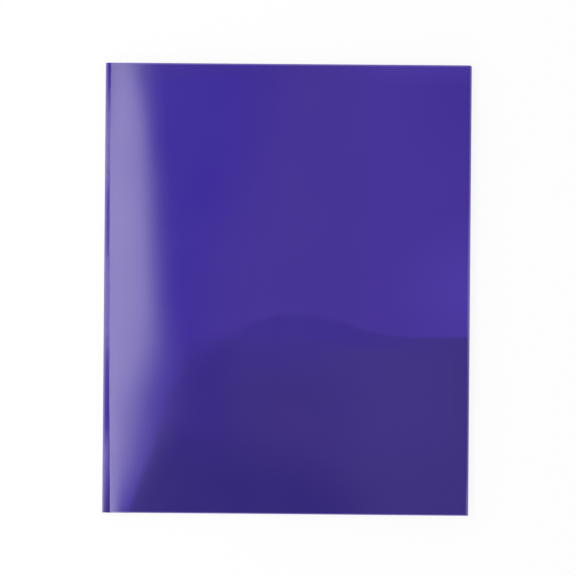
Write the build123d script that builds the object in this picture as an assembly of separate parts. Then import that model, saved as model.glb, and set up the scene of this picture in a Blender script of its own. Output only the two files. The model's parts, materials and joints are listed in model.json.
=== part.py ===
from build123d import *
import math
import os

# A two pocket folder, die cut, scored and folded from polypropylene sheet. It lies closed on its
# back cover: +X runs from the spine to the fore edge, +Y to the top edge, +Z up through the front
# cover. The origin is the middle of the footprint, on the surface that the folder lies on.
# Lengths are millimetres and angles are degrees.

# Sheet and covers
sheet = 0.45  # thickness of the sheet
cover_width = 233.5  # crease to fore edge, along the sheet
cover_height = 292.0  # outside of the bottom fold to the top edge
corner_radius = 1.5  # top corner at the fore edge

# Spine and its two creases
spine_width = 6.0  # crease to crease
spine_lean = 48.0  # from the back cover up to the spine, folder closed
score_web = 0.25  # sheet left under a score
score_clearance = 0.3  # between the back cover and the spine folded down over it

# Bow of the front cover, which springs up from its crease and then levels out
bow_slope = 7.0  # at the crease
bow_length = 45.0  # of sheet, until it is level

# Pockets, folded up from the bottom edge inside the covers
pocket_shelf_height = 115.4  # top edge beside the fore edge
pocket_crest_height = 131.3  # top of the hump in the top edge
pocket_foot_gap = 13.0  # crease to where the slanted side meets the bottom fold
pocket_setback = 0.3  # fore edge of the cover to the outside of the pocket
fold_slit = 0.4  # cut in the cover beside the foot, where its bottom fold starts

# The pocket's top edge: shares of its reach from the fore side to its foot, and, on the slanted
# side, of its crest height
shelf_end_share = 0.19
crest_share = 0.505
slant_shares = ((0.69, 0.887), (0.845, 0.677), (0.943, 0.32))
foot_tangent_shares = (0.3, 1.0)

# Side tab of a pocket, folded in behind it and welded to the cover
tab_width = 10.0
tab_relief = 6.0  # kept clear at both ends of the pocket's fore side
tab_taper = 8.0  # how much shorter the free edge is at each end
tab_room = 0.35  # between the tab and the pocket in front of it
weld_diameter = 3.0
weld_count = 6
weld_clearance = 0.05  # round a weld, to the tab that it pierces

cut_overrun = 2.0  # how far a cutter runs past what it cuts

# Sizes that follow from those above
half_sheet = sheet / 2
pocket_room = sheet + tab_room  # between a cover and its pocket
pocket_depth = sheet + pocket_room  # middle of the cover to middle of the pocket
fold_outer_radius = pocket_depth / 2 + half_sheet
fold_inner_radius = pocket_depth / 2 - half_sheet
tab_fold_outer_radius = tab_room / 2 + sheet
tab_fold_inner_radius = tab_room / 2
lean = math.radians(spine_lean)
score_half_width = (score_clearance + half_sheet * (1 + math.cos(lean))) / math.sin(lean)
spine_run = spine_width * math.cos(lean)
spine_rise = spine_width * math.sin(lean)
bow_angle = math.radians(bow_slope)
bow_radius = bow_length / bow_angle
bow_run = score_half_width * math.cos(bow_angle) + bow_radius * math.sin(bow_angle)
bow_rise = score_half_width * math.sin(bow_angle) + bow_radius * (1 - math.cos(bow_angle))
bow_end = score_half_width + bow_length
front_reach = bow_run + cover_width - bow_end
top = cover_height / 2
base = -cover_height / 2  # bottom edge, outside the folds
bottom = base + fold_outer_radius  # where the flat sheets end above the folds
root_along = cover_width - pocket_setback - tab_fold_outer_radius  # start of the tab's fold
tab_bottom = base + tab_relief
tab_top = base + pocket_shelf_height - tab_relief


class Cover:
    """Middle surface of a cover, from its crease to its fore edge, flat or bowed."""

    def __init__(self, name, axis, inward, slope):
        self.name = name
        self.axis = axis
        self.inward = inward  # 1 where the inside faces up, -1 where it faces down
        self.bow_end = bow_end if slope else 0.0

    def point(self, along, inside):
        """The point a length along the sheet from the crease, a depth inside its middle."""
        lift = self.inward * inside
        if not self.bow_end:
            return self.axis + Vector(along, 0, lift)
        level = self.axis + Vector(bow_run, 0, bow_rise)
        if along >= bow_end:
            return level + Vector(along - bow_end, 0, lift)
        turn = bow_angle * (bow_end - along) / bow_length
        radius = bow_radius + lift
        return level + Vector(-radius * math.sin(turn), 0, radius * math.cos(turn) - bow_radius)

    def run(self, start, end, inside):
        """Edges that follow the cover from start to end at a depth inside it."""
        if start >= self.bow_end:
            return [Line(self.point(start, inside), self.point(end, inside))]
        middle = (start + self.bow_end) / 2
        crest = self.point(self.bow_end, inside)
        bow = ThreePointArc(self.point(start, inside), self.point(middle, inside), crest)
        return [bow, Line(crest, self.point(end, inside))]

    def panel(self, start, end, inside, low):
        """Sheet that lies a depth inside the cover, from a low edge up to the top edge."""
        outer = self.run(start, end, inside - half_sheet)
        inner = self.run(start, end, inside + half_sheet)
        start_cap = Line(outer[0] @ 0, inner[0] @ 0)
        end_cap = Line(outer[-1] @ 1, inner[-1] @ 1)
        section = make_face([*outer, *inner, start_cap, end_cap])
        return Pos(0, low, 0) * extrude(section, amount=top - low, dir=(0, 1, 0))


def half_ring(outer, inner):
    """Section of a fold: half a ring, open towards -X of its own plane."""
    outside = CenterArc((0, 0), outer, -90, 180)
    inside = CenterArc((0, 0), inner, -90, 180)
    return make_face([outside, inside, Line(outside @ 0, inside @ 0), Line(outside @ 1, inside @ 1)])


def upright(outline):
    """Cutter with a plan outline, taller than the folder."""
    height = spine_width + bow_rise + cut_overrun
    return extrude(outline, amount=height, both=True)


def fold_strip(cover):
    """Plan of the strip along the bottom edge where a fold takes the place of the flat sheet."""
    start = cover.point(pocket_foot_gap - fold_slit, 0).X
    end = cover.point(cover_width, 0).X + cut_overrun
    low = base - cut_overrun
    return make_face(Polyline((start, low), (end, low), (end, bottom), (start, bottom), close=True))


def make_cover(cover):
    """Flat or bowed cover with its top fore corner rounded, cut back above its bottom fold."""
    solid = cover.panel(score_half_width, cover_width, 0, base)
    corner = solid.edges().filter_by(Axis.Z).group_by(Axis.X)[-1].sort_by(Axis.Y)[-1]
    return fillet(corner, corner_radius) - upright(fold_strip(cover))


def pocket_outline(cover):
    """Plan of a pocket: level beside the fore edge, a hump, and a side slanting to its foot."""
    root_x = cover.point(root_along, 0).X
    foot_x = cover.point(pocket_foot_gap, 0).X
    reach = root_x - foot_x

    def place(reach_share, height):
        return Vector(root_x - reach * reach_share, base + height)

    shelf_end = place(shelf_end_share, pocket_shelf_height)
    rise = place((shelf_end_share + crest_share) / 2, (pocket_shelf_height + pocket_crest_height) / 2)
    crest = place(crest_share, pocket_crest_height)
    slant = [place(share, pocket_crest_height * height_share) for share, height_share in slant_shares]
    foot = place(1, 0)
    across, down = foot_tangent_shares
    edge = Spline(shelf_end, rise, crest, *slant, foot, tangents=[(-1, 0), (-across, -down)])
    corner = place(0, 0)
    shelf_start = place(0, pocket_shelf_height)
    return make_face([edge, Line(foot, corner), Line(corner, shelf_start), Line(shelf_start, shelf_end)])


def make_pocket(cover):
    """Pocket panel, parallel to its cover and trimmed to the pocket's outline."""
    start = (score_half_width + pocket_foot_gap) / 2
    return cover.panel(start, root_along, pocket_depth, bottom) & upright(pocket_outline(cover))


def make_pocket_fold(cover):
    """Bend along the bottom edge that turns the cover's sheet up into the pocket."""
    path = Pos(0, bottom, 0) * Wire(cover.run(pocket_foot_gap, cover_width, pocket_depth / 2))
    start = Plane(path @ 0, x_dir=(0, -1, 0), z_dir=path % 0)
    return sweep(start * half_ring(fold_outer_radius, fold_inner_radius), path=path)


def make_tab_fold(cover):
    """Bend along the fore side that turns the pocket's sheet back into the tab."""
    centre = cover.point(root_along, sheet + (sheet + tab_room) / 2)
    section = Plane(centre + Vector(0, tab_bottom, 0), x_dir=(1, 0, 0), z_dir=(0, 1, 0))
    ring = section * half_ring(tab_fold_outer_radius, tab_fold_inner_radius)
    return extrude(ring, amount=tab_top - tab_bottom, dir=(0, 1, 0))


def weld_places(cover):
    """Middles of the welds, evenly spaced down the tab and on the face of the cover."""
    along = root_along - tab_width / 2
    seat = cover.point(along, half_sheet)
    first = tab_bottom + tab_taper
    pitch = (tab_top - tab_taper - first) / (weld_count - 1)
    return [seat + Vector(0, first + pitch * number, 0) for number in range(weld_count)]


def weld_disc(cover, place, radius):
    """Disc as thick as the sheet, standing on the inside face of the cover."""
    seat = Align.MIN if cover.inward > 0 else Align.MAX
    return Pos(*place) * Cylinder(radius, sheet, align=(Align.CENTER, Align.CENTER, seat))


def make_tab(cover):
    """Tab flat against the inside of the cover, tapered at both ends and pierced by its welds."""
    root = cover.point(root_along, half_sheet)
    free_x = root.X - tab_width
    outline = Polyline(
        (root.X, tab_bottom),
        (root.X, tab_top),
        (free_x, tab_top - tab_taper),
        (free_x, tab_bottom + tab_taper),
        close=True,
    )
    face = Pos(0, 0, root.Z) * make_face(outline)
    tab = extrude(face, amount=sheet, dir=(0, 0, cover.inward))
    for place in weld_places(cover):
        tab -= weld_disc(cover, place, weld_diameter / 2 + weld_clearance)
    return tab


def make_welds(cover):
    """Ultrasonic weld spots that hold the tab to the cover, a group of separate solids."""
    return Compound(children=[weld_disc(cover, place, weld_diameter / 2) for place in weld_places(cover)])


def make_crease(axis, first_angle, second_angle):
    """Scored web, bent round its crease: two legs that meet in a round bead on the axis."""
    web = Circle(score_web / 2)
    for angle in (first_angle, second_angle):
        leg = Rectangle(score_half_width, score_web, align=(Align.MIN, Align.CENTER))
        web += Rot(0, 0, angle) * leg
    plane = Plane(Vector(axis.X, base, axis.Z), x_dir=(1, 0, 0), z_dir=(0, -1, 0))
    return extrude(plane * web, amount=cover_height, dir=(0, 1, 0))


def make_spine(back_axis):
    """Spine strip between the two scores, leaning up from the back cover."""
    strip = Rectangle(spine_width - 2 * score_half_width, sheet, align=(Align.MIN, Align.CENTER))
    strip = Rot(0, 0, spine_lean) * Pos(score_half_width, 0) * strip
    plane = Plane(Vector(back_axis.X, base, back_axis.Z), x_dir=(1, 0, 0), z_dir=(0, -1, 0))
    return extrude(plane * strip, amount=cover_height, dir=(0, 1, 0))


# The footprint runs from the bead of the back crease to the fore edge of the front cover
footprint = score_web / 2 + spine_run + front_reach
back_axis = Vector(score_web / 2 - footprint / 2, 0, half_sheet)
front_axis = back_axis + Vector(spine_run, 0, spine_rise)
back = Cover("back", back_axis, 1, 0)
front = Cover("front", front_axis, -1, bow_slope)

nodes = {
    "spine": make_spine(back_axis),
    "back_crease": make_crease(back_axis, 0, spine_lean),
    "front_crease": make_crease(front_axis, bow_slope, spine_lean + 180),
}
for cover in (back, front):
    nodes[f"{cover.name}_cover"] = make_cover(cover)
    nodes[f"{cover.name}_pocket"] = make_pocket(cover)
    nodes[f"{cover.name}_pocket_fold"] = make_pocket_fold(cover)
    nodes[f"{cover.name}_pocket_tab"] = make_tab(cover)
    nodes[f"{cover.name}_tab_fold"] = make_tab_fold(cover)
    nodes[f"{cover.name}_tab_welds"] = make_welds(cover)

os.makedirs("parts", exist_ok=True)
for name, shape in nodes.items():
    export_step(shape, f"parts/{name}.step")
    print(name, "volume", round(shape.volume, 3))
print("back crease axis", back_axis)
print("front crease axis", front_axis)
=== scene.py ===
import json
import math

import bmesh
import bpy
import numpy as np
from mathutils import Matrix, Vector


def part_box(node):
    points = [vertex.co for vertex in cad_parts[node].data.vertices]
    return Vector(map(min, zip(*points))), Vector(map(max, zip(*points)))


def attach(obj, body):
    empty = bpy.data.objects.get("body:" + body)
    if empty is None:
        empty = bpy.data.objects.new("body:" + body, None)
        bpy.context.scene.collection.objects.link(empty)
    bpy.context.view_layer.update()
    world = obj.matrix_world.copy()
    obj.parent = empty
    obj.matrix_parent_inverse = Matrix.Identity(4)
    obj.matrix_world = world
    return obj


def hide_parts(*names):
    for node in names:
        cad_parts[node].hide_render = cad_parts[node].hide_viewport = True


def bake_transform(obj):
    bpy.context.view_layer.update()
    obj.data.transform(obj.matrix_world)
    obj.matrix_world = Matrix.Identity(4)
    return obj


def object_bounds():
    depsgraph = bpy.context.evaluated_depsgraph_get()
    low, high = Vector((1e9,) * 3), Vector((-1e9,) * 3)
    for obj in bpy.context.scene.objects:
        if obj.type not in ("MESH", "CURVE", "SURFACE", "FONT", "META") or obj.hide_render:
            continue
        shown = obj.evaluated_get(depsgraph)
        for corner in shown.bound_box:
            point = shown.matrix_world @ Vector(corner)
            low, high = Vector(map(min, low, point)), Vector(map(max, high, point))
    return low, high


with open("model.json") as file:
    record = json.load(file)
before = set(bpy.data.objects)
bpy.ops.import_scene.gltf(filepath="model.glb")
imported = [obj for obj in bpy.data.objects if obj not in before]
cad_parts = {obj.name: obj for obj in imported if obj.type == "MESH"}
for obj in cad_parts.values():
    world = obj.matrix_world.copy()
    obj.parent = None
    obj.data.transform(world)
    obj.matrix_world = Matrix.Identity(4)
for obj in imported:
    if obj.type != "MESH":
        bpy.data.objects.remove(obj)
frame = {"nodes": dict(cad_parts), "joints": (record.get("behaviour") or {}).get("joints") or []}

# A two pocket folder of glossy purple polypropylene, closed, lying on its back cover and seen from
# straight above. +X runs from the spine to the fore edge, +Y to the top edge, +Z up. The sheet
# pieces start as flat blanks, as they are die cut, and are then bent to the folded shape.

cad_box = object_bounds()
mm = 0.001

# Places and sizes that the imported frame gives
hinge_place = {joint["name"]: Vector(joint["pos_m"]) for joint in frame["joints"]}
back_axis = hinge_place["back_crease_hinge"]
front_axis = hinge_place["front_crease_hinge"]
back_cover_low, back_cover_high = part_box("back_cover")
front_cover_low, front_cover_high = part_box("front_cover")
front_pocket_low, front_pocket_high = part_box("front_pocket")
back_pocket_low, back_pocket_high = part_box("back_pocket")
front_fold_low, front_fold_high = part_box("front_pocket_fold")
sheet = back_cover_high.z - back_cover_low.z
half_sheet = sheet / 2
level = front_cover_high.z - half_sheet  # middle of the front cover where it is level
fold_start = front_pocket_low.y  # where the flat sheets end above the bottom fold
top_edge = front_cover_high.y
half_height = (cad_box[1].y - cad_box[0].y) / 2
base = -half_height  # outside of the bottom fold
pocket_depth = 2 * (fold_start - base) - sheet  # middle of a cover to middle of its pocket

# The creases and the spine
score_half_width = back_cover_low.x - back_axis.x
score_web = 0.25 * mm
score_rounding = 0.14  # share of the half width over which the crease turns
score_lap = 0.01 * mm  # how far the front cover's sheet reaches into its score
spine_width = (front_axis - back_axis).length
spine_belly = 0.12 * mm

# The front crease line wanders from its hinge axis: shares of the height, and mm to the fore side
crease_heights = (0.0, 0.12, 0.25, 0.6, 0.82, 1.0)
crease_offsets = (1.05, 0.63, 0.05, -0.75, -0.9, -0.45)
skew_fade = 60 * mm

# The front cover springs up from its crease, over the longest reach where the pocket lies under it.
# Close to the crease it kicks up more towards the bottom edge, and less towards the top.
bow_heights = (0.0, 0.03, 0.1, 0.18, 0.27, 0.36, 0.45, 0.58, 0.72, 0.85, 0.92, 1.0)
bow_reaches = (11, 20, 36, 50, 56, 56, 49.5, 44.5, 41, 38.5, 37.5, 36)  # mm
bow_slopes = (2.5, 3.1, 3.8, 3.9, 4.2, 5.6, 6.7, 7.0, 7.0, 6.5, 5.7, 4.3)  # degrees at the crease
bow_kicks = (3.0, 2.1, 1.5, 2.4, 2.5, 2.0, 0.5, 0.0, 0.0, -2.8, -3.3, -1.6)  # degrees
bow_fall = 1.85  # power at which the cover levels out over its reach
kick_length = 9 * mm
even_window = 0.03  # share of the height over which these are evened out
settle_start = 60 * mm
settle_length = 165 * mm

# The blanks are cut into strips, narrower where they bend, and have a little rounding on the rim
cover_bow = 66 * mm  # how far the narrow strips of the front cover go
pocket_bow = 60 * mm  # and those of its pocket
cover_strip = 1.6 * mm
pocket_strip = 2 * mm
flat_strip = 6 * mm
row_strip = 5 * mm  # up the front half
spine_row = 4 * mm  # up the spine and the scores
score_steps = 0.1  # shares of the width of the spine, and of half a score
rim_margin = 3 * mm  # kept free of cuts
rim_band = 2 * mm  # what counts as the rim
rim_rounding = 0.1 * mm
corner_radius = 1.5 * mm
sharp_angle = math.radians(28)

# Top edge of a pocket: shares of its reach from the fore side to its foot, and of its crest height
crest_height = 131.3 * mm
shelf_share = 0.879
pocket_edge = (
    (0.0, shelf_share),
    (0.19, shelf_share),
    (0.3475, (1 + shelf_share) / 2),
    (0.505, 1.0),
    (0.69, 0.887),
    (0.845, 0.677),
    (0.943, 0.32),
    (1.0, 0.0),
)
shelf_handle = 11 * mm  # how gently the hump leaves the level part of the edge
tab_width = 10 * mm
tab_blur = 0.6 * mm  # to either side of the tab's free edge

# The same edge as a soft change of tone through the cover, in the same shares
edge_seen = (
    (0.0, shelf_share),
    (0.16, shelf_share),
    (0.23, 0.891),
    (0.29, 0.91),
    (0.35, 0.946),
    (0.42, 0.982),
    (0.505, 1.0),
    (0.585, 0.978),
    (0.7, 0.876),
    (0.8, 0.79),
    (0.85, 0.715),
    (0.943, 0.3),
    (1.0, 0.0),
)

# How softly the pocket's edge shows through the cover, which it stands off from along its slanted
# side: shares of its reach, and of the longest blur
longest_blur = 25 * mm
pocket_stand_off = (
    (0.0, 0.03),
    (0.15, 0.05),
    (0.28, 0.07),
    (0.36, 0.11),
    (0.44, 0.14),
    (0.52, 0.13),
    (0.6, 0.08),
    (0.68, 0.3),
    (0.76, 0.62),
    (0.83, 0.82),
    (0.93, 0.6),
    (0.965, 0.42),
    (1.0, 0.22),
)

# How pale the spine is, partly from folding's stress whitening and partly a painted reflection of its
# waviness: shares of its height, and of the palest tone
spine_whitening_and_sheen = (
    (0.0, 0.25),
    (0.06, 0.45),
    (0.12, 0.72),
    (0.21, 0.08),
    (0.28, 0.12),
    (0.35, 0.38),
    (0.42, 0.95),
    (0.52, 1.0),
    (0.59, 0.45),
    (0.68, 0.34),
    (0.73, 0.7),
    (0.8, 1.0),
    (0.85, 0.98),
    (0.9, 0.65),
    (0.955, 0.17),
    (1.0, 0.0),
)

# Sockets of a Mix node that mixes colours
MIX_FACTOR, MIX_A, MIX_B, MIX_RESULT = 0, 6, 7, 2


# Nodes and colours
def linear(hex_colour):
    """Linear colour of an sRGB hex value such as 40309B."""
    channels = [int(hex_colour[start:start + 2], 16) / 255 for start in (0, 2, 4)]
    lit = [c / 12.92 if c <= 0.04045 else ((c + 0.055) / 1.055) ** 2.4 for c in channels]
    return (*lit, 1.0)


def add_node(tree, kind, sockets, **settings):
    """Add a node with its settings, and set or link its sockets."""
    node = tree.nodes.new(kind)
    for setting, value in settings.items():
        setattr(node, setting, value)
    for socket, value in sockets.items():
        if isinstance(value, bpy.types.NodeSocket):
            tree.links.new(value, node.inputs[socket])
        else:
            node.inputs[socket].default_value = value
    return node


def draw_curve(mapping, points, handle=None):
    """Put a curve through points whose first and last are the curve's own ends."""
    curve = mapping.curves[0]
    for place in points[1:-1]:
        curve.points.new(*place)
    curve.points[0].location = points[0]
    curve.points[-1].location = points[-1]
    if handle:
        for point in curve.points:
            point.handle_type = handle
    mapping.update()


def start_material(name):
    """An empty material: its node tree, and the place on the piece as a vector and as x, y, z."""
    material = bpy.data.materials.new(name)
    material.use_nodes = True
    tree = material.node_tree
    tree.nodes.clear()
    place = add_node(tree, "ShaderNodeTexCoord", {}).outputs["Object"]
    split = add_node(tree, "ShaderNodeSeparateXYZ", {0: place})
    return material, tree, place, split.outputs


def finish_sheet(tree, place, colour, roughness, gloss_level=0.5):
    """The skin of extruded polypropylene: roll grain, faint ripples, and hands' smudges in the gloss."""
    grain_width = 0.8  # mm, coarser than the real one, which a pixel would swallow
    grain_length = 24.0  # mm
    ripple_width = 9.0  # mm
    smudge_width = 45.0  # mm
    across_grain, along_grain = 1 / (grain_width * mm), 1 / (grain_length * mm)
    drawn = add_node(
        tree, "ShaderNodeMapping",
        {"Vector": place, "Scale": (across_grain, along_grain, across_grain)},
    )
    grain = add_node(tree, "ShaderNodeTexNoise", {"Vector": drawn.outputs[0], "Scale": 1.0, "Detail": 2.0})
    ripple = add_node(
        tree, "ShaderNodeTexNoise", {"Vector": place, "Scale": 1 / (ripple_width * mm), "Detail": 1.0}
    )
    smudge = add_node(
        tree, "ShaderNodeTexNoise", {"Vector": place, "Scale": 1 / (smudge_width * mm), "Detail": 4.0}
    )
    gloss = add_node(
        tree, "ShaderNodeMapRange",
        {
            "Value": smudge.outputs["Fac"],
            "From Min": 0.3,
            "From Max": 0.7,
            "To Min": roughness - 0.015,
            "To Max": roughness + 0.02,
        },
    )
    rippled = add_node(
        tree, "ShaderNodeBump",
        {"Strength": 0.2, "Distance": 0.02 * mm, "Height": ripple.outputs["Fac"]},
    )
    skin = add_node(
        tree, "ShaderNodeBump",
        {
            "Strength": 0.2,
            "Distance": 0.002 * mm,
            "Height": grain.outputs["Fac"],
            "Normal": rippled.outputs[0],
        },
    )
    shader = add_node(
        tree, "ShaderNodeBsdfPrincipled",
        {
            "Base Color": colour,
            "Roughness": gloss.outputs[0],
            "IOR": 1.49,
            "Specular IOR Level": gloss_level,
            "Normal": skin.outputs[0],
        },
    )
    add_node(tree, "ShaderNodeOutputMaterial", {"Surface": shader.outputs[0]})


# Extruded polypropylene, tinted through and glossy. The sheet is thin enough to let the pocket behind it
# show, and that is painted on here as see-through shade: a darker field under a humped edge that is crisp
# by the fore edge and blurs where it stands off, with the welded tab darker again. Within the field,
# painted shade darkens it towards the bottom and a painted glow lightens it towards the fore edge, and a
# painted glow lies on the open sheet by the middle of the fore edge. Its die cut edge gathers light,
# painted as a paler line along the fore and top edges and the bottom bend.
def cover_polypropylene(name, fore_x, root_x, foot_x):
    material, tree, place, axes = start_material(name)
    across, up = axes["X"], axes["Y"]
    slanted = add_node(
        tree, "ShaderNodeVectorMath", {0: place, 1: (1, -0.25, 0)}, operation="DOT_PRODUCT"
    )
    by_spine = add_node(
        tree, "ShaderNodeMapRange",
        {"Value": slanted.outputs["Value"], "From Min": -80 * mm, "From Max": -12 * mm},
        interpolation_type="SMOOTHSTEP",
    )
    spine_half = add_node(
        tree, "ShaderNodeMix",
        {MIX_FACTOR: by_spine.outputs[0], MIX_A: linear("3A2999"), MIX_B: linear("453396")},
        data_type="RGBA",
    )
    by_width = add_node(
        tree, "ShaderNodeMapRange",
        {"Value": across, "From Min": 5 * mm, "From Max": 85 * mm},
        interpolation_type="SMOOTHSTEP",
    )
    both_halves = add_node(
        tree, "ShaderNodeMix",
        {MIX_FACTOR: by_width.outputs[0], MIX_A: spine_half.outputs[MIX_RESULT], MIX_B: linear("48359C")},
        data_type="RGBA",
    )
    corner_place = add_node(
        tree, "ShaderNodeVectorMath", {0: place, 1: (fore_x, top_edge, 0)}, operation="DISTANCE"
    )
    by_corner = add_node(
        tree, "ShaderNodeMapRange",
        {"Value": corner_place.outputs["Value"], "From Min": 80 * mm, "From Max": 20 * mm},
        interpolation_type="SMOOTHSTEP",
    )
    open_sheet = add_node(
        tree, "ShaderNodeMix",
        {MIX_FACTOR: by_corner.outputs[0], MIX_A: both_halves.outputs[MIX_RESULT], MIX_B: linear("45339B")},
        data_type="RGBA",
    )
    # Painted light: a soft glow on the open sheet by the middle of the fore edge
    glow_place = add_node(
        tree, "ShaderNodeVectorMath", {0: place, 1: (fore_x, 0, 0)}, operation="DISTANCE"
    )
    glow = add_node(
        tree, "ShaderNodeMapRange",
        {"Value": glow_place.outputs["Value"], "From Min": 52 * mm, "From Max": -5 * mm},
    )
    painted_glow_sheet = add_node(
        tree, "ShaderNodeMix",
        {MIX_FACTOR: glow.outputs[0], MIX_A: open_sheet.outputs[MIX_RESULT], MIX_B: linear("4F3EAB")},
        data_type="RGBA",
    )
    by_top = add_node(
        tree, "ShaderNodeMapRange",
        {"Value": up, "From Min": top_edge - 15 * mm, "From Max": top_edge - 3 * mm, "To Max": 0.35},
        interpolation_type="SMOOTHSTEP",
    )
    top_tone = add_node(
        tree, "ShaderNodeMix",
        {MIX_FACTOR: by_width.outputs[0], MIX_A: linear("40318C"), MIX_B: linear("5140AA")},
        data_type="RGBA",
    )
    topped = add_node(
        tree, "ShaderNodeMix",
        {
            MIX_FACTOR: by_top.outputs[0],
            MIX_A: painted_glow_sheet.outputs[MIX_RESULT],
            MIX_B: top_tone.outputs[MIX_RESULT],
        },
        data_type="RGBA",
    )
    # Painted see-through shade: the pocket behind the sheet, crisp by the fore edge and blurred where it
    # stands off
    reach_share = add_node(
        tree, "ShaderNodeMapRange", {"Value": across, "From Min": root_x, "From Max": foot_x}
    )
    edge_share = add_node(tree, "ShaderNodeFloatCurve", {"Value": reach_share.outputs[0]})
    draw_curve(edge_share.mapping, edge_seen, "AUTO_CLAMPED")
    below_edge = add_node(
        tree, "ShaderNodeMath",
        {0: edge_share.outputs[0], 1: crest_height, 2: base},
        operation="MULTIPLY_ADD",
    )
    depth = add_node(tree, "ShaderNodeMath", {0: below_edge.outputs[0], 1: up}, operation="SUBTRACT")
    stand_off = add_node(tree, "ShaderNodeFloatCurve", {"Value": reach_share.outputs[0]})
    draw_curve(stand_off.mapping, pocket_stand_off)
    blur = add_node(
        tree, "ShaderNodeMath", {0: stand_off.outputs[0], 1: longest_blur}, operation="MULTIPLY"
    )
    spill = add_node(
        tree, "ShaderNodeMapRange",
        {
            "Value": reach_share.outputs[0],
            "From Min": 0.6,
            "From Max": 0.82,
            "To Min": 0.9 * mm,
            "To Max": 19 * mm,
        },
    )
    by_end = add_node(
        tree, "ShaderNodeMapRange",
        {"Value": reach_share.outputs[0], "From Min": 0.83, "From Max": 0.93, "To Min": 1.0, "To Max": 0.3},
    )
    reached = add_node(
        tree, "ShaderNodeMath",
        {0: spill.outputs[0], 1: by_end.outputs[0], 2: depth.outputs[0]},
        operation="MULTIPLY_ADD",
    )
    depth_share = add_node(
        tree, "ShaderNodeMath", {0: reached.outputs[0], 1: blur.outputs[0]}, operation="DIVIDE"
    )
    inside = add_node(tree, "ShaderNodeMath", {0: depth_share.outputs[0], 1: 0.0}, operation="MAXIMUM")
    deepened = add_node(
        tree, "ShaderNodeMath", {0: inside.outputs[0], 1: inside.outputs[0]}, operation="MULTIPLY"
    )
    clear = add_node(tree, "ShaderNodeMath", {0: math.exp(-1), 1: deepened.outputs[0]}, operation="POWER")
    pocket_shade_behind = add_node(tree, "ShaderNodeMath", {0: 1.0, 1: clear.outputs[0]}, operation="SUBTRACT")
    # Painted shade: the pocket's field darkens towards the bottom, more so on the spine side
    slanted_up = add_node(
        tree, "ShaderNodeVectorMath", {0: place, 1: (0.2, 1, 0)}, operation="DOT_PRODUCT"
    )
    low_shade = add_node(
        tree, "ShaderNodeMapRange",
        {"Value": slanted_up.outputs["Value"], "From Min": base + 62 * mm, "From Max": base + 6 * mm},
        interpolation_type="SMOOTHSTEP",
    )
    by_mouth = add_node(
        tree, "ShaderNodeMapRange",
        {"Value": up, "From Min": base + 80 * mm, "From Max": base + 122 * mm},
    )
    mouth_tone = add_node(
        tree, "ShaderNodeMix",
        {MIX_FACTOR: by_mouth.outputs[0], MIX_A: linear("3C2E81"), MIX_B: linear("3E2F8E")},
        data_type="RGBA",
    )
    by_foot = add_node(
        tree, "ShaderNodeMapRange",
        {"Value": across, "From Min": -15 * mm, "From Max": -55 * mm},
        interpolation_type="SMOOTHSTEP",
    )
    by_far_foot = add_node(
        tree, "ShaderNodeMapRange",
        {"Value": across, "From Min": -64 * mm, "From Max": -85 * mm},
        interpolation_type="SMOOTHSTEP",
    )
    far_foot = add_node(
        tree, "ShaderNodeMix",
        {MIX_FACTOR: by_far_foot.outputs[0], MIX_A: linear("352684"), MIX_B: linear("3B2B8C")},
        data_type="RGBA",
    )
    foot_tone = add_node(
        tree, "ShaderNodeMix",
        {
            MIX_FACTOR: by_foot.outputs[0],
            MIX_A: mouth_tone.outputs[MIX_RESULT],
            MIX_B: far_foot.outputs[MIX_RESULT],
        },
        data_type="RGBA",
    )
    doubled_shade = add_node(
        tree, "ShaderNodeMix",
        {MIX_FACTOR: low_shade.outputs[0], MIX_A: foot_tone.outputs[MIX_RESULT], MIX_B: linear("2F2479")},
        data_type="RGBA",
    )
    # Painted shade towards the bottom on the fore side of the field as well
    fore_low_shade = add_node(
        tree, "ShaderNodeMapRange",
        {"Value": up, "From Min": base + 65 * mm, "From Max": base + 20 * mm},
        interpolation_type="SMOOTHSTEP",
    )
    fore_doubled_shade = add_node(
        tree, "ShaderNodeMix",
        {MIX_FACTOR: fore_low_shade.outputs[0], MIX_A: linear("423588"), MIX_B: linear("3F3282")},
        data_type="RGBA",
    )
    # Painted light: the pocket's field is lighter towards the fore edge
    slanted_fore = add_node(
        tree, "ShaderNodeVectorMath", {0: place, 1: (1, 0.12, 0)}, operation="DOT_PRODUCT"
    )
    by_fore = add_node(
        tree, "ShaderNodeMapRange",
        {
            "Value": slanted_fore.outputs["Value"],
            "From Min": root_x - 130 * mm,
            "From Max": root_x - 50 * mm,
        },
        interpolation_type="SMOOTHSTEP",
    )
    pocket_tone = add_node(
        tree, "ShaderNodeMix",
        {
            MIX_FACTOR: by_fore.outputs[0],
            MIX_A: doubled_shade.outputs[MIX_RESULT],
            MIX_B: fore_doubled_shade.outputs[MIX_RESULT],
        },
        data_type="RGBA",
    )
    hump_slope = add_node(
        tree, "ShaderNodeMapRange",
        {"Value": across, "From Min": 0, "From Max": 95 * mm, "To Max": 11 * mm},
    )
    hump_place = add_node(tree, "ShaderNodeMath", {0: up, 1: hump_slope.outputs[0]}, operation="ADD")
    hump_fade = add_node(
        tree, "ShaderNodeMapRange",
        {"Value": across, "From Min": 40 * mm, "From Max": 95 * mm, "To Min": 0.85, "To Max": 0.15},
    )
    by_hump = add_node(
        tree, "ShaderNodeMapRange",
        {
            "Value": hump_place.outputs[0],
            "From Min": base + 110 * mm,
            "From Max": base + 119.5 * mm,
            "To Max": hump_fade.outputs[0],
        },
        interpolation_type="SMOOTHSTEP",
    )
    hump_tone = add_node(
        tree, "ShaderNodeMix",
        {MIX_FACTOR: by_hump.outputs[0], MIX_A: pocket_tone.outputs[MIX_RESULT], MIX_B: linear("3E2E90")},
        data_type="RGBA",
    )
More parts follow.
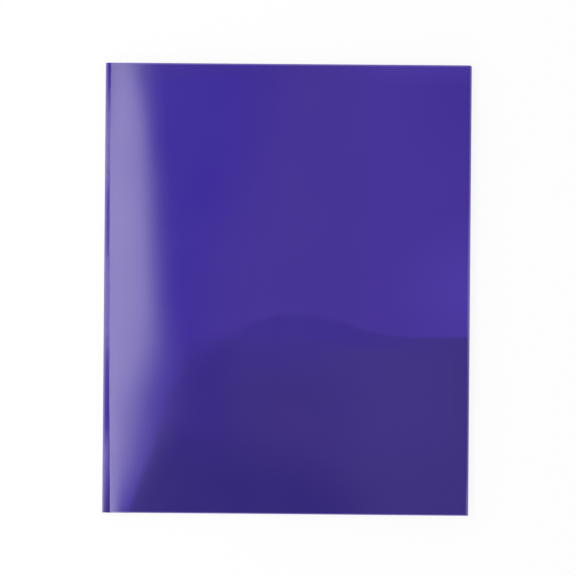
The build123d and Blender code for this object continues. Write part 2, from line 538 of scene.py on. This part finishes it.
    # Painted see-through shade of the welded tab behind the sheet
    on_tab = add_node(
        tree, "ShaderNodeMapRange",
        {
            "Value": across,
            "From Min": root_x - tab_width - tab_blur,
            "From Max": root_x - tab_width + tab_blur,
            "To Max": 0.55,
        },
    )
    tab_tone = add_node(
        tree, "ShaderNodeMix",
        {MIX_FACTOR: on_tab.outputs[0], MIX_A: hump_tone.outputs[MIX_RESULT], MIX_B: linear("403383")},
        data_type="RGBA",
    )
    shade_seen_through = add_node(
        tree, "ShaderNodeMix",
        {
            MIX_FACTOR: pocket_shade_behind.outputs[0],
            MIX_A: topped.outputs[MIX_RESULT],
            MIX_B: tab_tone.outputs[MIX_RESULT],
        },
        data_type="RGBA",
    )
    # Painted highlight: a pale line along the fore cut edge, wider by its middle and near the bottom, and
    # along the top cut edge and the bottom bend
    wide_glow = add_node(
        tree, "ShaderNodeMapRange",
        {
            "Value": glow_place.outputs["Value"],
            "From Min": 60 * mm,
            "From Max": 25 * mm,
            "To Min": 1.4 * mm,
            "To Max": 1.9 * mm,
        },
    )
    low_glow = add_node(
        tree, "ShaderNodeMapRange",
        {
            "Value": up,
            "From Min": base + 25 * mm,
            "From Max": base + 10 * mm,
            "To Min": 1.4 * mm,
            "To Max": 1.9 * mm,
        },
    )
    cut_width = add_node(
        tree, "ShaderNodeMath", {0: wide_glow.outputs[0], 1: low_glow.outputs[0]}, operation="MAXIMUM"
    )
    from_cut = add_node(tree, "ShaderNodeMath", {0: fore_x, 1: across}, operation="SUBTRACT")
    cut_share = add_node(
        tree, "ShaderNodeMath", {0: from_cut.outputs[0], 1: cut_width.outputs[0]}, operation="DIVIDE"
    )
    fore_edge_highlight = add_node(
        tree, "ShaderNodeMath", {0: 1.0, 1: cut_share.outputs[0]}, operation="SUBTRACT", use_clamp=True
    )
    top_edge_highlight = add_node(
        tree, "ShaderNodeMapRange",
        {"Value": up, "From Min": top_edge - 1.3 * mm, "From Max": top_edge, "To Max": 0.8},
    )
    bend_highlight = add_node(
        tree, "ShaderNodeMapRange",
        {"Value": up, "From Min": base + 1.0 * mm, "From Max": base, "To Max": 0.9},
    )
    ends_highlight = add_node(
        tree, "ShaderNodeMath", {0: top_edge_highlight.outputs[0], 1: bend_highlight.outputs[0]}, operation="MAXIMUM"
    )
    edge_highlight = add_node(
        tree, "ShaderNodeMath", {0: fore_edge_highlight.outputs[0], 1: ends_highlight.outputs[0]}, operation="MAXIMUM"
    )
    edge_highlighted = add_node(
        tree, "ShaderNodeMix",
        {MIX_FACTOR: edge_highlight.outputs[0], MIX_A: shade_seen_through.outputs[MIX_RESULT], MIX_B: linear("9085CA")},
        data_type="RGBA",
    )
    finish_sheet(tree, place, edge_highlighted.outputs[MIX_RESULT], 0.165)
    return material


# The same sheet as a pocket, seen from inside the folder: painted see-through shade where it lies over its
# cover, darker towards the bottom edge, darker again over the welded tab, and a painted highlight in a thin
# line along its die cut top edge and its bends.
def pocket_polypropylene(name, root_x):
    material, tree, place, axes = start_material(name)
    across, up = axes["X"], axes["Y"]
    # Painted see-through shade of the cover behind, darker towards the bottom edge
    by_height = add_node(
        tree, "ShaderNodeMapRange",
        {"Value": up, "From Min": base, "From Max": base + crest_height},
        interpolation_type="SMOOTHSTEP",
    )
    doubled_shade = add_node(
        tree, "ShaderNodeMix",
        {MIX_FACTOR: by_height.outputs[0], MIX_A: linear("372C7D"), MIX_B: linear("43348B")},
        data_type="RGBA",
    )
    on_tab = add_node(
        tree, "ShaderNodeMapRange",
        {
            "Value": across,
            "From Min": root_x - tab_width - tab_blur,
            "From Max": root_x - tab_width + tab_blur,
        },
    )
    tone = add_node(
        tree, "ShaderNodeMix",
        {MIX_FACTOR: on_tab.outputs[0], MIX_A: doubled_shade.outputs[MIX_RESULT], MIX_B: linear("352A78")},
        data_type="RGBA",
    )
    # Painted highlight: paler where the surface turns away from level, along the die cut top edge and the
    # bends
    facing = add_node(tree, "ShaderNodeTexCoord", {}).outputs["Normal"]
    flatness = add_node(
        tree, "ShaderNodeVectorMath", {0: facing, 1: (0, 0, 1)}, operation="DOT_PRODUCT"
    )
    turned = add_node(tree, "ShaderNodeMath", {0: flatness.outputs["Value"]}, operation="ABSOLUTE")
    edge_highlight = add_node(
        tree, "ShaderNodeMapRange", {"Value": turned.outputs[0], "From Min": 0.7, "From Max": 0.3}
    )
    edge_highlighted = add_node(
        tree, "ShaderNodeMix",
        {MIX_FACTOR: edge_highlight.outputs[0], MIX_A: tone.outputs[MIX_RESULT], MIX_B: linear("7D71B8")},
        data_type="RGBA",
    )
    finish_sheet(tree, place, edge_highlighted.outputs[MIX_RESULT], 0.15)
    return material


# The spine between the scores: the same polypropylene, dulled. Its pale patches are partly stress whitening
# where folding stressed it and partly a painted reflection of the spine's waviness, and a painted highlight
# makes it palest along the back crease. Near the bottom edge, painted shade keeps it dark beside the front
# crease and darkens its bottom end.
def stressed_polypropylene_with_painted_light(name):
    material, tree, place, axes = start_material(name)
    height_share = add_node(
        tree, "ShaderNodeMapRange", {"Value": axes["Y"], "From Min": base, "From Max": top_edge}
    )
    # Pale patches: partly stress whitening, partly a painted reflection of the spine's waviness
    whitening_and_sheen = add_node(tree, "ShaderNodeFloatCurve", {"Value": height_share.outputs[0]})
    draw_curve(whitening_and_sheen.mapping, spine_whitening_and_sheen)
    fleck = add_node(
        tree, "ShaderNodeTexNoise", {"Vector": place, "Scale": 1 / (4 * mm), "Detail": 3.0}
    )
    patch = add_node(
        tree, "ShaderNodeMapRange",
        {"Value": fleck.outputs["Fac"], "From Min": 0.3, "From Max": 0.7, "To Min": 0.8, "To Max": 1.2},
    )
    patchy = add_node(
        tree, "ShaderNodeMath", {0: whitening_and_sheen.outputs[0], 1: patch.outputs[0]}, operation="MULTIPLY"
    )
    # Painted shade: near the bottom, the paleness is taken away beside the front crease
    beside_crease = add_node(
        tree, "ShaderNodeMapRange",
        {
            "Value": axes["X"],
            "From Min": back_axis.x + 1.5 * mm,
            "From Max": back_axis.x + 4.3 * mm,
            "To Min": -0.3,
            "To Max": 0.8,
        },
    )
    by_bottom = add_node(
        tree, "ShaderNodeMapRange", {"Value": height_share.outputs[0], "From Min": 0.2, "From Max": 0.08}
    )
    crease_shade = add_node(
        tree, "ShaderNodeMath", {0: beside_crease.outputs[0], 1: by_bottom.outputs[0]}, operation="MULTIPLY"
    )
    outside_crease_shade = add_node(tree, "ShaderNodeMath", {0: 1.0, 1: crease_shade.outputs[0]}, operation="SUBTRACT")
    white = add_node(
        tree, "ShaderNodeMath", {0: patchy.outputs[0], 1: outside_crease_shade.outputs[0]}, operation="MULTIPLY"
    )
    # Painted shade: darker towards the bottom edge
    low_shade = add_node(
        tree, "ShaderNodeMapRange", {"Value": height_share.outputs[0], "From Min": 0.1, "From Max": 0.02}
    )
    clear = add_node(
        tree, "ShaderNodeMix",
        {MIX_FACTOR: low_shade.outputs[0], MIX_A: linear("3C278F"), MIX_B: linear("2B1D72")},
        data_type="RGBA",
    )
    whitened = add_node(
        tree, "ShaderNodeMix",
        {MIX_FACTOR: white.outputs[0], MIX_A: clear.outputs[MIX_RESULT], MIX_B: linear("6F63A8")},
        data_type="RGBA",
    )
    # Painted highlight: palest along the back crease
    by_back_crease = add_node(
        tree, "ShaderNodeMapRange",
        {"Value": axes["X"], "From Min": back_axis.x + 1.7 * mm, "From Max": back_axis.x + 0.1 * mm},
    )
    tone = add_node(
        tree, "ShaderNodeMix",
        {
            MIX_FACTOR: by_back_crease.outputs[0],
            MIX_A: whitened.outputs[MIX_RESULT],
            MIX_B: linear("877DB8"),
        },
        data_type="RGBA",
    )
    finish_sheet(tree, place, tone.outputs[MIX_RESULT], 0.3, gloss_level=0.05)
    return material


# Polypropylene thinned to a web under the scoring rule: smooth, and a little uneven in tone.
def scored_polypropylene(name):
    material, tree, place, _ = start_material(name)
    fleck = add_node(
        tree, "ShaderNodeTexNoise", {"Vector": place, "Scale": 1 / (6 * mm), "Detail": 3.0}
    )
    tone = add_node(
        tree, "ShaderNodeMix",
        {MIX_FACTOR: fleck.outputs["Fac"], MIX_A: linear("3A2A8C"), MIX_B: linear("4534A0")},
        data_type="RGBA",
    )
    finish_sheet(tree, place, tone.outputs[MIX_RESULT], 0.16)
    return material


# Polypropylene melted by the welder: darker and duller, with the fine knurl of the horn in its tone.
def welded_polypropylene(name):
    material, tree, place, _ = start_material(name)
    knurl_pitch = 0.5  # mm
    knurl = add_node(
        tree, "ShaderNodeTexVoronoi", {"Vector": place, "Scale": 1 / (knurl_pitch * mm), "Randomness": 0.1}
    )
    tone = add_node(
        tree, "ShaderNodeMix",
        {MIX_FACTOR: knurl.outputs["Distance"], MIX_A: linear("2E2470"), MIX_B: linear("44368E")},
        data_type="RGBA",
    )
    finish_sheet(tree, place, tone.outputs[MIX_RESULT], 0.25)
    return material


# Shape of the folded sheet
def eased(share):
    """A share from 0 to 1 that starts and ends gently."""
    share = min(max(share, 0.0), 1.0)
    return share * share * (3 - 2 * share)


def evened(y, heights, values):
    """Value at a height, from a few chosen ones that are evened out over the stretch around it."""
    near = (y - base) / (2 * half_height) + np.linspace(-even_window, even_window, 9)
    return float(np.mean(np.interp(near, heights, values)))


def skew_at(y):
    """How far the front crease line stands from its hinge axis in x."""
    return evened(y, crease_heights, crease_offsets) * mm


def front_line(y):
    """Point of the front crease line, as high as the spine holds it, leaning no steeper than the hinges."""
    run = front_axis.x + skew_at(y) - back_axis.x
    hinge_lean = (front_axis.z - back_axis.z) / (front_axis.x - back_axis.x)
    rise = min(math.sqrt(spine_width ** 2 - run ** 2), run * hinge_lean)
    return Vector((back_axis.x + run, y, back_axis.z + rise))


def back_line(y):
    """Point of the back crease line."""
    return Vector((back_axis.x, y, back_axis.z))


def spine_direction(y):
    """Direction of the leaning spine, from the back crease to the front one."""
    return (front_line(y) - back_line(y)).normalized()


def bow_at(y):
    """Length over which the front cover springs up from its crease, its slope there, and the kick."""
    reach = evened(y, bow_heights, bow_reaches) * mm
    slope = math.radians(evened(y, bow_heights, bow_slopes))
    kick = math.radians(evened(y, bow_heights, bow_kicks))
    return reach, slope, kick


def cover_direction(y):
    """Direction of the front cover where it leaves the crease."""
    _, slope, kick = bow_at(y)
    return Vector((math.cos(slope + kick), 0, math.sin(slope + kick)))


def back_direction(y):
    """Direction of the back cover where it leaves the crease."""
    return Vector((1, 0, 0))


def front_lift(x, y):
    """Height of the middle of the front cover over a plan point."""
    start = front_line(y)
    along = max(x - start.x, 0.0)
    reach, slope, kick = bow_at(y)
    spring = slope * reach / bow_fall
    spring_left = max(0.0, 1 - along / reach) ** bow_fall
    kick_rise = kick * kick_length / 3
    kick_left = max(0.0, 1 - along / kick_length) ** 3
    rest = level - start.z - spring - kick_rise
    settled = eased((along - settle_start) / settle_length)
    return start.z + spring * (1 - spring_left) + kick_rise * (1 - kick_left) + rest * settled


def shift_front(place):
    """Move a plan point of the front half with its skewed crease line."""
    along = (place.x - front_axis.x) / skew_fade
    return Vector((place.x + skew_at(place.y) * (1 - eased(along)), place.y, place.z))


# Blanks
def cut_across(bm, axis, places):
    """Cut a blank across an axis at each place, so that it can bend there."""
    normal = Vector((0, 0, 0))
    normal[axis] = 1
    for place in places:
        geometry = [*bm.verts, *bm.edges, *bm.faces]
        bmesh.ops.bisect_plane(bm, geom=geometry, plane_co=normal * place, plane_no=normal)


def sheet_blank(low_x, high_x, low_y, high_y):
    """Flat rectangle of sheet, its middle at z 0."""
    bm = bmesh.new()
    bmesh.ops.create_cube(bm, size=1)
    bmesh.ops.scale(bm, verts=bm.verts[:], vec=(high_x - low_x, high_y - low_y, sheet))
    middle = ((low_x + high_x) / 2, (low_y + high_y) / 2, 0)
    bmesh.ops.translate(bm, verts=bm.verts[:], vec=middle)
    return bm


def soften_rim(bm, on_rim):
    """Round the two corners of the die cut edge wherever on_rim says that the rim is free."""
    rim = [
        edge for edge in bm.edges
        if abs(edge.verts[0].co.z - edge.verts[1].co.z) < 1e-9 and all(on_rim(v.co) for v in edge.verts)
    ]
    bmesh.ops.bevel(
        bm, geom=rim, offset=rim_rounding, segments=2, profile=0.5, affect="EDGES", material=-1
    )


def make_piece(name, bm, material, slot, *nodes):
    """Turn a finished bmesh into a piece that stands for CAD nodes."""
    bmesh.ops.remove_doubles(bm, verts=bm.verts[:], dist=0.001 * mm)
    bmesh.ops.recalc_face_normals(bm, faces=bm.faces[:])
    mesh = bpy.data.meshes.new(name)
    bm.to_mesh(mesh)
    bm.free()
    mesh.shade_smooth()
    mesh.set_sharp_from_angle(angle=sharp_angle)
    mesh.materials.append(material)
    piece = bpy.data.objects.new(name, mesh)
    bpy.context.scene.collection.objects.link(piece)
    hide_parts(*nodes)
    return piece


# Pieces
def make_front_cover(material):
    """Front cover: a blank with its top fore corner rounded, longer beside its bottom fold, bent up."""
    cover_start = front_axis.x + score_half_width - score_lap
    bm = sheet_blank(cover_start, front_cover_high.x, fold_start, top_edge)
    corner = [
        edge for edge in bm.edges
        if all(v.co.x > front_cover_high.x - mm and v.co.y > top_edge - mm for v in edge.verts)
    ]
    bmesh.ops.bevel(
        bm, geom=corner, offset=corner_radius, segments=5, profile=0.5, affect="EDGES", material=-1
    )
    fore_band, top_band = front_cover_high.x - rim_band, top_edge - rim_band
    soften_rim(bm, lambda place: place.x > fore_band or place.y > top_band)
    bow_end = front_cover_low.x + cover_bow
    cut_across(bm, 0, np.arange(front_cover_low.x + 1.2 * mm, bow_end, cover_strip))
    cut_across(bm, 0, np.arange(bow_end, front_cover_high.x - rim_margin, flat_strip))
    cut_across(bm, 0, [front_fold_low.x])
    cut_across(bm, 1, np.arange(fold_start + rim_margin, top_edge - rim_margin, row_strip))
    bm.normal_update()
    unfolded = [
        face for face in bm.faces
        if face.normal.y < -0.9 and face.calc_center_median().x < front_fold_low.x
    ]
    grown = bmesh.ops.extrude_face_region(bm, geom=unfolded)["geom"]
    bmesh.ops.delete(bm, geom=unfolded, context="FACES")
    lowered = [part for part in grown if isinstance(part, bmesh.types.BMVert)]
    bmesh.ops.translate(bm, verts=lowered, vec=(0, base - fold_start, 0))
    for vert in bm.verts:
        place = shift_front(vert.co)
        vert.co = Vector((place.x, place.y, place.z + front_lift(place.x, place.y)))
    piece = make_piece("front_cover_sheet", bm, material, "cover_sheet", "front_cover")
    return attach(piece, "front_half")


def make_front_pocket(material):
    """Front pocket: its outline is drawn as a curve, filled, thickened and bent with the cover."""
    root_x, foot_x = front_pocket_high.x, front_pocket_low.x
    drawing = bpy.data.curves.new("pocket_outline", "CURVE")
    drawing.resolution_u = 10
    spline = drawing.splines.new("BEZIER")
    corners = [(0.0, (fold_start - base) / crest_height), *pocket_edge[:-1]]
    corners.append((1.0, (fold_start - base) / crest_height))
    spline.bezier_points.add(len(corners) - 1)
    spline.use_cyclic_u = True
    straight = (0, 1, len(corners) - 1)
    for number, (reach, height) in enumerate(corners):
        point = spline.bezier_points[number]
        point.co = (root_x + (foot_x - root_x) * reach, base + crest_height * height, 0)
        kind = "VECTOR" if number in straight else "AUTO"
        point.handle_left_type = point.handle_right_type = kind
    shelf_end = spline.bezier_points[2]
    shelf_end.handle_left_type = shelf_end.handle_right_type = "ALIGNED"
    shelf_end.handle_left = shelf_end.co + Vector((shelf_handle, 0, 0))
    shelf_end.handle_right = shelf_end.co - Vector((shelf_handle, 0, 0))
    outline = bpy.data.objects.new("pocket_outline", drawing)
    bpy.context.scene.collection.objects.link(outline)
    bpy.context.view_layer.update()
    bm = bmesh.new()
    bm.from_mesh(bpy.data.meshes.new_from_object(outline))
    bpy.data.objects.remove(outline)
    bmesh.ops.remove_doubles(bm, verts=bm.verts[:], dist=0.01 * mm)
    bmesh.ops.contextual_create(bm, geom=bm.edges[:])
    grown = bmesh.ops.extrude_face_region(bm, geom=bm.faces[:])["geom"]
    raised = [part for part in grown if isinstance(part, bmesh.types.BMVert)]
    bmesh.ops.translate(bm, verts=raised, vec=(0, 0, sheet))
    bmesh.ops.translate(bm, verts=bm.verts[:], vec=(0, 0, -half_sheet))
    cut_across(bm, 0, np.arange(foot_x + 1.5 * mm, foot_x + pocket_bow, pocket_strip))
    cut_across(bm, 0, np.arange(foot_x + pocket_bow, root_x - rim_margin, flat_strip))
    cut_across(bm, 1, np.arange(fold_start + row_strip, base + crest_height - rim_margin, row_strip))
    for vert in bm.verts:
        place = shift_front(vert.co)
        height = place.z + front_lift(place.x, place.y) - pocket_depth
        vert.co = Vector((place.x, place.y, height))
    piece = make_piece("front_pocket_sheet", bm, material, "pocket_sheet", "front_pocket")
    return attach(piece, "front_half")


def make_front_fold(material):
    """Bend along the bottom edge: a strip across the sheet's thickness, spun half round."""
    bm = bmesh.new()
    outer, inner = pocket_depth / 2 + half_sheet, pocket_depth / 2 - half_sheet
    low_x, high_x = front_fold_low.x, front_fold_high.x
    corners = [(low_x, inner), (high_x, inner), (high_x, outer), (low_x, outer)]
    face = bm.faces.new([bm.verts.new((x, fold_start, z)) for x, z in corners])
    bmesh.ops.spin(
        bm,
        geom=[*face.verts, *face.edges, face],
        cent=(0, fold_start, 0),
        axis=(1, 0, 0),
        angle=math.pi,
        steps=10,
        use_merge=False,
    )
    cut_across(bm, 0, np.arange(low_x + 1.5 * mm, low_x + pocket_bow, pocket_strip))
    cut_across(bm, 0, np.arange(low_x + pocket_bow, high_x - rim_margin, flat_strip))
    for vert in bm.verts:
        place = shift_front(vert.co)
        height = place.z + front_lift(place.x, fold_start) - pocket_depth / 2
        vert.co = Vector((place.x, place.y, height))
    piece = make_piece("front_pocket_bend", bm, material, "pocket_sheet", "front_pocket_fold")
    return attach(piece, "front_half")


def make_spine(material):
    """Spine strip between the two scores, leaning, with a slight belly."""
    bm = sheet_blank(0, 1 * mm, base, top_edge)
    cut_across(bm, 0, np.arange(0.1, 1.0, score_steps) * mm)
    cut_across(bm, 1, np.arange(base + spine_row, top_edge - rim_band, spine_row))
    for vert in bm.verts:
        share, y, out = vert.co.x / mm, vert.co.y, vert.co.z
        lean = spine_direction(y)
        start = back_line(y) + lean * score_half_width
        end = front_line(y) - lean * score_half_width
        outward = Vector((-lean.z, 0, lean.x))
        vert.co = start.lerp(end, share) + outward * (out + spine_belly * 4 * share * (1 - share))
    piece = make_piece("spine_strip", bm, material, "cover_sheet", "spine")
    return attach(piece, "spine")


def make_score(name, node, line, first_leg, second_leg, first_material, second_material):
    """Scored crease: a blank, thinned from inside to its web and turned round the crease line."""
    bm = sheet_blank(-1 * mm, 1 * mm, base, top_edge)
    cut_across(bm, 0, np.arange(-0.9, 0.95, score_steps) * mm)
    cut_across(bm, 1, np.arange(base + spine_row, top_edge - rim_band, spine_row))
    for face in bm.faces:
        face.material_index = 1 if face.calc_center_median().x > 0 else 0
    for vert in bm.verts:
        share, y = vert.co.x / mm, vert.co.y
        first, second = first_leg(y), second_leg(y)
        root = math.hypot(share, score_rounding)
        middle = line(y) + score_half_width * (first * (root - share) / 2 + second * (root + share) / 2)
        along = (first * (share / root - 1) + second * (share / root + 1)).normalized()
        thickness = score_web + (sheet - score_web) * eased((abs(share) - 0.4) / 0.6)
        outward = Vector((-along.z, 0, along.x))
        out = half_sheet if vert.co.z > 0 else half_sheet - thickness
        vert.co = middle + outward * out
    piece = make_piece(name, bm, first_material, "scored_sheet", node)
    piece.data.materials.append(second_material)
    return piece


front_material = cover_polypropylene(
    "front_cover_polypropylene", front_cover_high.x, front_pocket_high.x, front_pocket_low.x
)
back_material = cover_polypropylene(
    "back_cover_polypropylene", back_cover_high.x, back_pocket_high.x, back_pocket_low.x
)
front_pocket_material = pocket_polypropylene("front_pocket_polypropylene", front_pocket_high.x)
back_pocket_material = pocket_polypropylene("back_pocket_polypropylene", back_pocket_high.x)
spine_material = stressed_polypropylene_with_painted_light("stress_whitened_and_painted_light_polypropylene")
score_material = scored_polypropylene("scored_polypropylene")
weld_material = welded_polypropylene("welded_polypropylene")

make_front_cover(front_material)
make_front_pocket(front_pocket_material)
make_front_fold(front_material)
make_spine(spine_material)

front_score = make_score(
    "front_score", "front_crease", front_line,
    lambda y: -spine_direction(y), cover_direction, spine_material, score_material,
)
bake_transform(front_score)
back_score = make_score(
    "back_score", "back_crease", back_line,
    back_direction, spine_direction, score_material, spine_material,
)
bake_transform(back_score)

# The flat CAD pieces keep their shape and get the finish of the real sheet
node_materials = {
    "back_cover": back_material,
    "back_pocket": back_pocket_material,
    "back_pocket_fold": back_material,
    "back_pocket_tab": back_pocket_material,
    "back_tab_fold": back_pocket_material,
    "back_tab_welds": weld_material,
    "front_pocket_tab": front_pocket_material,
    "front_tab_fold": front_pocket_material,
    "front_tab_welds": weld_material,
}
for node, material in node_materials.items():
    mesh = frame["nodes"][node].data
    mesh.materials.clear()
    mesh.materials.append(material)


# Floor, light and camera
def make_floor():
    """Seamless white paper that still takes the folder's soft shadow."""
    evenness = 0.9  # share of the ground that shows as white, whatever falls on it
    floor_reach = 20
    material, tree, place, _ = start_material("white_paper")
    fibre = add_node(tree, "ShaderNodeTexNoise", {"Vector": place, "Scale": 1 / (0.6 * mm), "Detail": 2.0})
    pulp = add_node(
        tree, "ShaderNodeMix",
        {MIX_FACTOR: fibre.outputs["Fac"], MIX_A: linear("FBFBFB"), MIX_B: linear("FDFDFD")},
        data_type="RGBA",
    )
    paper = add_node(tree, "ShaderNodeBsdfDiffuse", {"Color": pulp.outputs[MIX_RESULT]})
    backlight = add_node(tree, "ShaderNodeEmission", {"Color": (1, 1, 1, 1), "Strength": 1.0})
    path = add_node(tree, "ShaderNodeLightPath", {})
    seen = add_node(
        tree, "ShaderNodeMath",
        {0: path.outputs["Is Camera Ray"], 1: path.outputs["Is Glossy Ray"]},
        operation="MAXIMUM",
    )
    passed = add_node(
        tree, "ShaderNodeMath",
        {0: seen.outputs[0], 1: path.outputs["Is Transmission Ray"]},
        operation="MAXIMUM",
    )
    share = add_node(tree, "ShaderNodeMath", {0: passed.outputs[0], 1: evenness}, operation="MULTIPLY")
    mixed = add_node(
        tree, "ShaderNodeMixShader", {0: share.outputs[0], 1: paper.outputs[0], 2: backlight.outputs[0]}
    )
    add_node(tree, "ShaderNodeOutputMaterial", {"Surface": mixed.outputs[0]})
    bm = bmesh.new()
    bmesh.ops.create_grid(bm, x_segments=1, y_segments=1, size=floor_reach)
    mesh = bpy.data.meshes.new("floor")
    bm.to_mesh(mesh)
    bm.free()
    mesh.materials.append(material)
    floor = bpy.data.objects.new("floor", mesh)
    bpy.context.scene.collection.objects.link(floor)


def make_sky():
    """A white tent with a dark opening overhead, which the level cover mirrors."""
    world = bpy.data.worlds.new("studio_tent")
    bpy.context.scene.world = world
    world.use_nodes = True
    tree = world.node_tree
    tree.nodes.clear()
    direction = add_node(tree, "ShaderNodeTexCoord", {}).outputs["Generated"]
    split = add_node(tree, "ShaderNodeSeparateXYZ", {0: direction})
    brightness = add_node(
        tree, "ShaderNodeMapRange",
        {"Value": split.outputs["Z"], "From Min": 0.25, "From Max": 0.95, "To Min": 1.3, "To Max": 0.04},
        interpolation_type="SMOOTHSTEP",
    )
    tent = add_node(
        tree, "ShaderNodeBackground", {"Color": (1, 1, 1, 1), "Strength": brightness.outputs[0]}
    )
    add_node(tree, "ShaderNodeOutputWorld", {"Surface": tent.outputs[0]})


def make_softbox():
    """A long softbox to the left of the spine, mirrored in the bow of the cover."""
    height = 1.2
    near_side, far_side = -0.26, -0.72
    length = 1.2
    radiance = 6.35
    lamp = bpy.data.lights.new("softbox", "AREA")
    lamp.shape = "RECTANGLE"
    lamp.size = near_side - far_side
    lamp.size_y = length
    lamp.energy = radiance * math.pi * lamp.size * lamp.size_y
    lamp.color = linear("FFF6FB")[:3]
    softbox = bpy.data.objects.new("softbox", lamp)
    bpy.context.scene.collection.objects.link(softbox)
    softbox.location = ((near_side + far_side) / 2, 0, height)


def make_camera():
    """Long lens straight above, turned a little, with the folder as it lies in the photograph."""
    frame_pixels = 576
    pixel = 0.648 * mm
    turn = math.radians(0.48)
    centre_right, centre_down = -1.22, 1.15  # pixels from the middle of the frame to the folder's centre
    camera = bpy.data.cameras.new("camera")
    camera.sensor_width = 36
    camera.lens = 300
    distance = frame_pixels * pixel * camera.lens / camera.sensor_width
    camera.clip_end = 50
    view = bpy.data.objects.new("camera", camera)
    bpy.context.scene.collection.objects.link(view)
    right = Vector((math.cos(turn), math.sin(turn), 0))
    up = Vector((-math.sin(turn), math.cos(turn), 0))
    aim = right * -centre_right * pixel + up * centre_down * pixel
    view.location = aim + Vector((0, 0, level + distance))
    view.rotation_euler = (0, 0, turn)
    bpy.context.scene.camera = view


make_floor()
make_sky()
make_softbox()
make_camera()
bpy.context.scene.view_settings.view_transform = "Standard"
